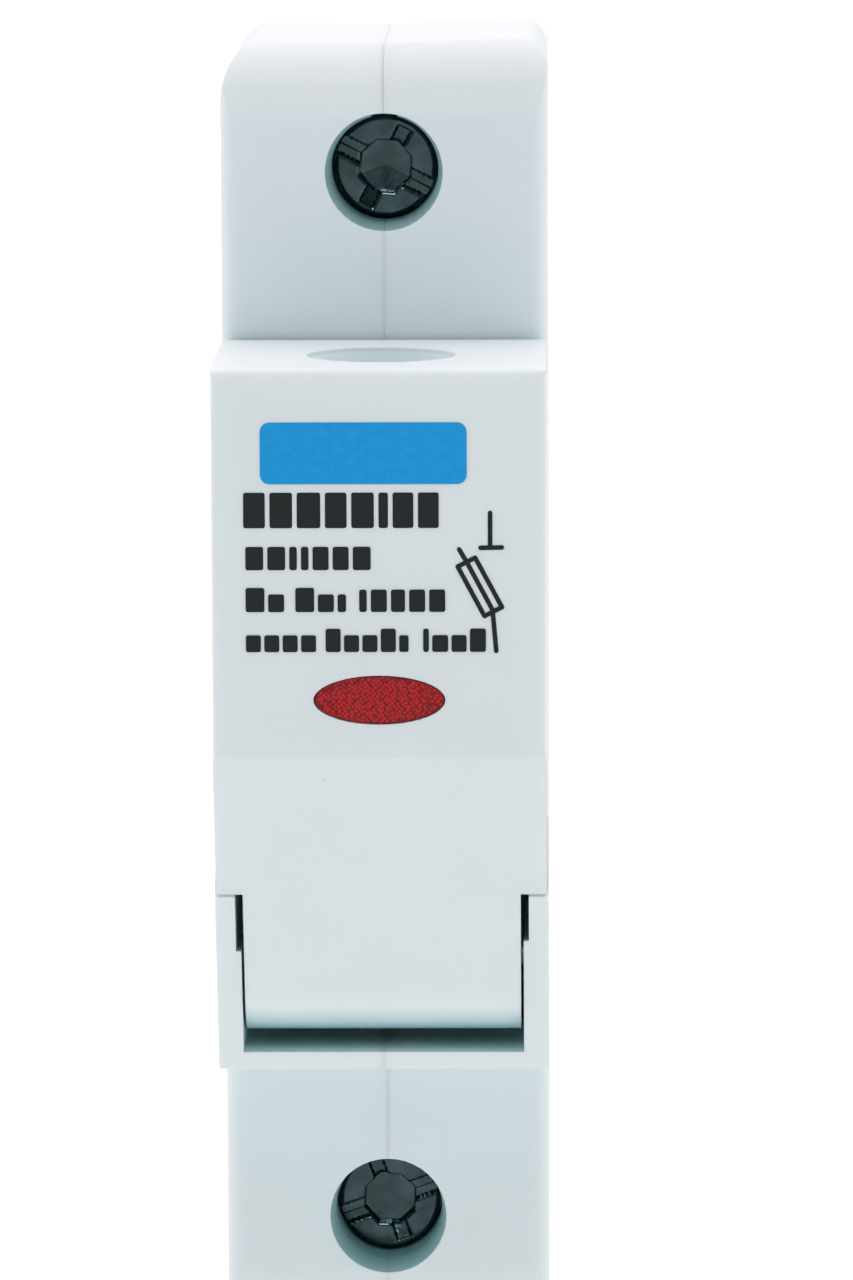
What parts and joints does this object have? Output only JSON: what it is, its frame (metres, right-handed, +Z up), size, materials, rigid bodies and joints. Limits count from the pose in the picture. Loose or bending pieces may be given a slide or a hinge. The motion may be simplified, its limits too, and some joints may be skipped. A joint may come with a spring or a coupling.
{
  "type": "rail-mounted cartridge fuse holder",
  "caption": "Narrow modular fuse holder: a two-shell housing with a tilting carrier for a cartridge fuse, cage screw terminals at both ends and a sprung rail latch.",
  "frame": {"origin": "on the rail seat, in the module's middle plane, level with the centre of the 35 mm rail", "axes": "+X across the module to the user's right, -Y out of the front towards the user, +Z up along the module"},
  "size_m": [0.018, 0.0646, 0.076],
  "materials": {
    "housing_plastic": "fine moulded, satin",
    "carrier_plastic": "fine moulded, satin",
    "rivet_steel": "zinc plated",
    "contact_copper": "bright strip",
    "spring_steel": "bright wire",
    "plated_cage": "zinc plated",
    "zinc_screw": "dark zinc, satin",
    "latch_plastic": "satin",
    "lens_red": "prismatic underside",
    "lamp_glass": "clear",
    "board_laminate": "solder resist",
    "resistor_body": "lacquered",
    "sense_bronze": "rolled strip",
    "fuse_ceramic": "glazed ceramic",
    "cap_nickel": "nickel plated",
    "element_silver": "bright strip",
    "quartz_sand": "packed grains"
  },
  "bodies": {
    "housing": {"housing_left": "housing_plastic", "housing_right": "housing_plastic", "housing_rivets": "rivet_steel", "upper_contact": "contact_copper", "lower_contact": "contact_copper", "upper_jaw_spring": "spring_steel", "lower_jaw_spring": "spring_steel", "latch_spring": "spring_steel"},
    "carrier": {"carrier_lever": "carrier_plastic", "fuse_cradle": "carrier_plastic", "pivot_pin": "rivet_steel", "indicator_lens": "lens_red", "indicator_lamp": "lamp_glass", "indicator_board": "board_laminate", "indicator_resistor": "resistor_body", "upper_sense_strip": "sense_bronze", "lower_sense_strip": "sense_bronze", "fuse_tube": "fuse_ceramic", "fuse_cap_upper": "cap_nickel", "fuse_cap_lower": "cap_nickel", "fuse_element": "element_silver", "fuse_filler": "quartz_sand"},
    "upper_clamp": {"upper_cage": "plated_cage"},
    "lower_clamp": {"lower_cage": "plated_cage"},
    "upper_terminal_screw": {"upper_screw": "zinc_screw"},
    "lower_terminal_screw": {"lower_screw": "zinc_screw"},
    "latch": {"rail_latch": "latch_plastic"}
  },
  "joints": [
    {"name": "carrier_tilt", "type": "hinge", "parent": "housing", "child": "carrier", "pos_m": [0, -0.0505, -0.013], "axis": [1, 0, 0], "range_deg": [0, 78]},
    {"name": "upper_screw_turn", "type": "hinge", "parent": "housing", "child": "upper_terminal_screw", "pos_m": [0, -0.03, 0.0292], "axis": [0, 1, 0], "range_deg": [0, 3150]},
    {"name": "lower_screw_turn", "type": "hinge", "parent": "housing", "child": "lower_terminal_screw", "pos_m": [0, -0.03, -0.0292], "axis": [0, 1, 0], "range_deg": [0, 3150]},
    {"name": "upper_cage_slide", "type": "slide", "parent": "housing", "child": "upper_clamp", "axis": [0, -1, 0], "range_m": [0, 0.007]},
    {"name": "lower_cage_slide", "type": "slide", "parent": "housing", "child": "lower_clamp", "axis": [0, -1, 0], "range_m": [0, 0.007]},
    {"name": "latch_slide", "type": "slide", "parent": "housing", "child": "latch", "axis": [0, 0, -1], "range_m": [0, 0.0035], "stiffness_N_per_m": 600, "springref_m": -0.002, "deforming": ["latch_spring"]}
  ],
  "couplings": [
    {"joint": "upper_screw_turn", "follows": "upper_cage_slide", "rad_per_m": 7853.9},
    {"joint": "lower_screw_turn", "follows": "lower_cage_slide", "rad_per_m": 7853.9}
  ]
}
